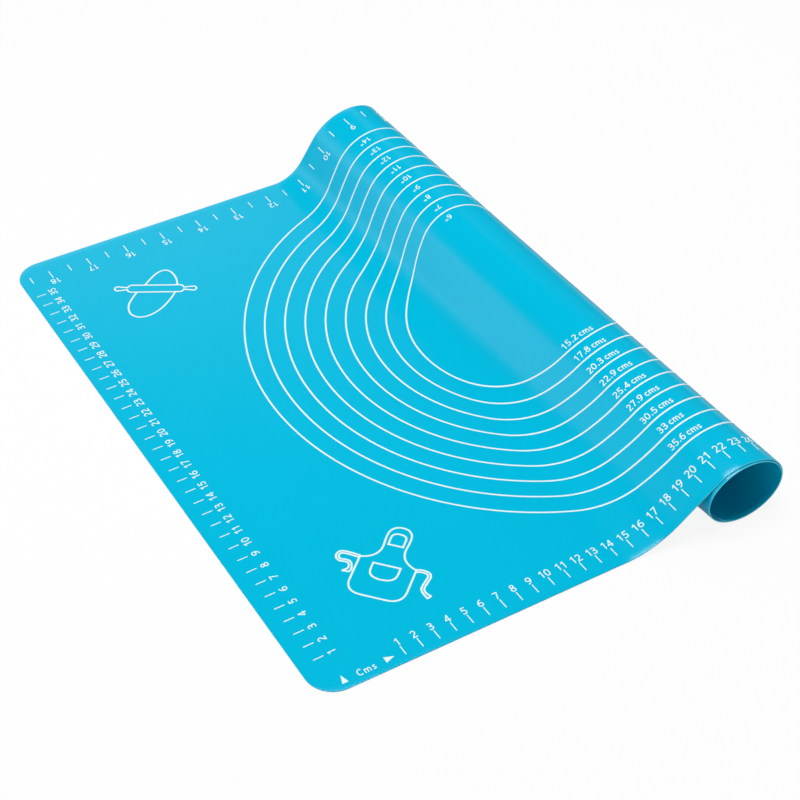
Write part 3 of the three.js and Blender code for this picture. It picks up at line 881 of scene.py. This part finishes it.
def silicone_finish(name, tones):
    """Blue silicone with a satin shine. The rim of the roll gets a painted highlight, a lighter
    tone mixed in by the rim attribute."""
    material = mottled_finish(
        name, tones.silicone, tones.silicone_deep, cloud_scale=14,
        roughness=(0.13, 0.19), grain_scale=1500, grain_depth=0.03 * MM)
    tree = material.node_tree
    shader = tree.nodes["Principled BSDF"]
    plain = shader.inputs["Base Color"].links[0].from_socket
    # Painted highlight: the lighter rim tone is mixed in along the rim of the bent sheet
    rim = add_node(tree, "ShaderNodeAttribute", attribute_name=RIM_HIGHLIGHT).outputs["Fac"]
    feed(tree, shader, {"Base Color": mixed_tones(tree, rim, plain, tones.silicone_rim)})
    return material


def ink_finish(name, tones):
    """White ink, duller than the silicone."""
    return mottled_finish(
        name, tones.ink, tones.ink_thin, cloud_scale=160,
        roughness=(0.45, 0.6), grain_scale=2500, grain_depth=0.04 * MM)


def finish(name, make, scene):
    """The named finish, made on first use."""
    return bpy.data.materials.get(name) or make(name, scene.pastry_mat_finish)


# Operators


def printing(scene):
    """What a step that prints works with: the sheet, the print's layout, the bent face, the ink."""
    sheet = scene.pastry_mat_sheet
    ink = finish("white_ink", ink_finish, scene)
    return sheet, scene.pastry_mat_print, BentSheet(sheet), ink


class PASTRYMAT_OT_sheet(bpy.types.Operator):
    """Builds the bent silicone sheet"""

    bl_idname = "pastry_mat.sheet"
    bl_label = "Silicone Sheet"

    def execute(self, context):
        sheet = context.scene.pastry_mat_sheet
        silicone = finish("satin_silicone", silicone_finish, context.scene)
        points, faces, flat, rim = sheet_mesh(sheet, BentSheet(sheet))
        piece = new_piece("silicone_sheet", points, faces, silicone)
        lay_out(piece.data, flat)
        # Marks the rim of the bent sheet, where the painted highlight goes
        mark_rim(piece.data, flat, rim, max(sheet.flat_run))
        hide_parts("mat_sheet")
        return {"FINISHED"}


class PASTRYMAT_OT_rings(bpy.types.Operator):
    """Prints the pie-crust rings and their sizes"""

    bl_idname = "pastry_mat.rings"
    bl_label = "Rings"

    def execute(self, context):
        sheet, layout, bent, ink = printing(context.scene)
        rings = ink_piece("ring_lines", join(ring_patches(sheet, layout)), bent, layout, ink)
        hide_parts(*(f"ring_{inches}_inch" for inches in ring_radii(sheet, layout)))
        sizes = ring_size_patches(sheet, layout, Lettering(layout.weight))
        ink_piece("ring_sizes", join(sizes), bent, layout, ink)
        return {"FINISHED"}


class PASTRYMAT_OT_scales(bpy.types.Operator):
    """Prints the scales along the front, left and back edges"""

    bl_idname = "pastry_mat.scales"
    bl_label = "Edge Scales"

    def execute(self, context):
        _, layout, bent, ink = printing(context.scene)
        lettering = Lettering(layout.weight)
        scales = {"front_scale": front_scale, "left_scale": left_scale, "back_scale": back_scale}
        for name, build in scales.items():
            patch = on_sheet(build(layout, lettering), layout)
            ink_piece(name, patch, bent, layout, ink)
        ink_piece("scale_signs", join(front_signs(layout, lettering)), bent, layout, ink)
        return {"FINISHED"}


class PASTRYMAT_OT_figures(bpy.types.Operator):
    """Prints the rolling pin and the apron"""

    bl_idname = "pastry_mat.figures"
    bl_label = "Figures"

    def execute(self, context):
        sheet, layout, bent, ink = printing(context.scene)
        pin = ink_piece("rolling_pin_figure", pin_patch(sheet, layout), bent, layout, ink)
        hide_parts("pin_outline", "dough_edge_near", "dough_edge_far")
        apron = ink_piece("apron_figure", apron_patch(layout), bent, layout, ink)
        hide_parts("apron_outline", "apron_neck_hole", "apron_pocket",
                    "apron_tie_left", "apron_tie_right")
        return {"FINISHED"}


class PASTRYMAT_OT_stage(bpy.types.Operator):
    """Builds the floor, the lamp, the surroundings and the camera"""

    bl_idname = "pastry_mat.stage"
    bl_label = "Stage"

    def execute(self, context):
        scene = context.scene
        make_floor(scene, scene.pastry_mat_finish.floor)
        make_lamp(scene)
        make_surroundings(scene)
        make_camera(scene)
        scene.view_settings.view_transform = "Standard"
        return {"FINISHED"}


# Stage


def maths(tree, operation, *terms):
    """The outcome of one step of arithmetic with tones and numbers."""
    inputs = dict(enumerate(terms))
    return add_node(tree, "ShaderNodeMath", inputs, operation=operation).outputs[0]


def fade(tree, value, span, tones=(1.0, 0.0)):
    """A tone that passes smoothly from the first to the second while the value crosses the span."""
    inputs = {"Value": value, "From Min": span[0], "From Max": span[1],
              "To Min": tones[0], "To Max": tones[1]}
    node = add_node(tree, "ShaderNodeMapRange", inputs, interpolation_type="SMOOTHSTEP")
    return node.outputs["Result"]


def mixed_shaders(tree, amount, first, second):
    """The first shader, with the given amount of the second."""
    inputs = {"Fac": amount, 1: first, 2: second}
    return add_node(tree, "ShaderNodeMixShader", inputs).outputs["Shader"]


def seen_directly(tree):
    """1 for a ray from the camera, or one that a glossy or clear surface sends on, and 0 for other
    light."""
    rays = add_node(tree, "ShaderNodeLightPath").outputs
    sent_on = maths(tree, "MAXIMUM", rays["Is Glossy Ray"], rays["Is Transmission Ray"])
    return maths(tree, "MAXIMUM", rays["Is Camera Ray"], sent_on)


def floor_finish(tone):
    """A matt floor that glows plain white as it is seen, so that only a faint shadow is left on it.
    In a shine the glow is weaker."""
    material = bpy.data.materials.new("white_floor")
    material.use_nodes = True
    tree = material.node_tree
    tree.nodes.remove(tree.nodes["Principled BSDF"])
    matt = add_node(tree, "ShaderNodeBsdfDiffuse", {"Color": tone}).outputs["BSDF"]
    in_shine = add_node(tree, "ShaderNodeLightPath").outputs["Is Glossy Ray"]
    strength = fade(tree, in_shine, (0.0, 1.0), (1.0, FLOOR_IN_SHINE))
    glow = add_node(tree, "ShaderNodeEmission", {"Strength": strength}).outputs["Emission"]
    amount = maths(tree, "MULTIPLY", seen_directly(tree), FLOOR_GLOW)
    surface = mixed_shaders(tree, amount, matt, glow)
    feed(tree, tree.nodes["Material Output"], {"Surface": surface})
    return material


def make_floor(scene, tone):
    """A wide square floor just under the mat."""
    corners = np.array(((-1, -1, 0), (1, -1, 0), (1, 1, 0), (-1, 1, 0))) * FLOOR_REACH
    mesh = bpy.data.meshes.new("floor")
    mesh.from_pydata((corners + (0, 0, FLOOR_LEVEL)).tolist(), [], [(0, 1, 2, 3)])
    mesh.materials.append(floor_finish(tone))
    floor = bpy.data.objects.new("floor", mesh)
    scene.collection.objects.link(floor)


def make_lamp(scene):
    """A soft panel that hangs level over the mat."""
    light = bpy.data.lights.new("overhead_panel", "AREA")
    light.shape = "RECTANGLE"
    light.size, light.size_y = LAMP_SIZE
    light.energy = LAMP_POWER
    lamp = bpy.data.objects.new("overhead_panel", light)
    lamp.location = LAMP_PLACE
    scene.collection.objects.link(lamp)


def make_surroundings(scene):
    """Plain white round the mat, as the camera sees it. A shine shows walls that are white behind
    the mat and left of it, dimmer at their foot, under the slanted edge of a dark ceiling. The
    light comes from all low directions, most from behind."""
    world = bpy.data.worlds.new("studio")
    world.use_nodes = True
    scene.world = world
    tree = world.node_tree
    direction = add_node(tree, "ShaderNodeTexCoord").outputs["Generated"]
    x, y, z = add_node(tree, "ShaderNodeSeparateXYZ", {"Vector": direction}).outputs
    under_ceiling = fade(tree, maths(tree, "MULTIPLY_ADD", x, CEILING_SLANT, z), CEILING_EDGE)
    before_end = fade(tree, x, WALL_END)
    over_foot = fade(tree, z, WALL_FOOT, (WALL_FOOT_TONE, 1.0))
    walls = maths(tree, "MULTIPLY", maths(tree, "MULTIPLY", under_ceiling, before_end), over_foot)
    in_view = add_node(tree, "ShaderNodeLightPath").outputs["Is Camera Ray"]
    seen = tree.nodes["Background"]
    feed(tree, seen, {"Color": maths(tree, "MAXIMUM", walls, in_view)})
    from_behind = fade(tree, y, FRONT_TO_BACK, (FRONT_LIGHT, 1.0))
    strength = maths(tree, "MULTIPLY", fade(tree, z, LIGHT_EDGE), from_behind)
    light = add_node(tree, "ShaderNodeBackground", {"Color": WHITE, "Strength": strength})
    surface = mixed_shaders(tree, seen_directly(tree), light.outputs["Background"],
                            seen.outputs["Background"])
    feed(tree, tree.nodes["World Output"], {"Surface": surface})


def make_camera(scene):
    """A camera in front of the mat's left corner, looking down on it."""
    data = bpy.data.cameras.new("view")
    data.sensor_width = SENSOR_WIDTH
    data.lens = LENS
    camera = bpy.data.objects.new("view", data)
    camera.location = CAMERA_PLACE
    camera.rotation_euler = tuple(math.radians(angle) for angle in CAMERA_TURN)
    scene.collection.objects.link(camera)
    scene.camera = camera


# Panel and registration


class PASTRYMAT_PT_build(bpy.types.Panel):
    """Lists the steps that build the mat, and its sizes and colours."""

    bl_idname = "PASTRYMAT_PT_build"
    bl_label = "Pastry Mat"
    bl_space_type = "VIEW_3D"
    bl_region_type = "UI"
    bl_category = "Pastry Mat"

    def draw(self, context):
        for operator in OPERATORS:
            self.layout.operator(operator.bl_idname)
        for place, group in GROUPS.items():
            column = self.layout.column()
            for name in group.__annotations__:
                column.prop(getattr(context.scene, place), name)


OPERATORS = (
    PASTRYMAT_OT_sheet,
    PASTRYMAT_OT_rings,
    PASTRYMAT_OT_scales,
    PASTRYMAT_OT_figures,
    PASTRYMAT_OT_stage,
)
GROUPS = {
    "pastry_mat_sheet": PastryMatSheet,
    "pastry_mat_print": PastryMatPrint,
    "pastry_mat_finish": PastryMatFinish,
}
CLASSES = (*GROUPS.values(), *OPERATORS, PASTRYMAT_PT_build)


def register():
    """Adds the sizes and colours, the steps and the panel."""
    for added in CLASSES:
        bpy.utils.register_class(added)
    for place, group in GROUPS.items():
        setattr(bpy.types.Scene, place, PointerProperty(type=group))


def unregister():
    """Takes them away again, in the other order."""
    for place in GROUPS:
        delattr(bpy.types.Scene, place)
    for added in reversed(CLASSES):
        bpy.utils.unregister_class(added)


def main():
    """Builds the mat and the stage."""
    register()
    bpy.ops.pastry_mat.sheet()
    bpy.ops.pastry_mat.rings()
    bpy.ops.pastry_mat.scales()
    bpy.ops.pastry_mat.figures()
    bpy.ops.pastry_mat.stage()


if __name__ == "__main__":
    main()
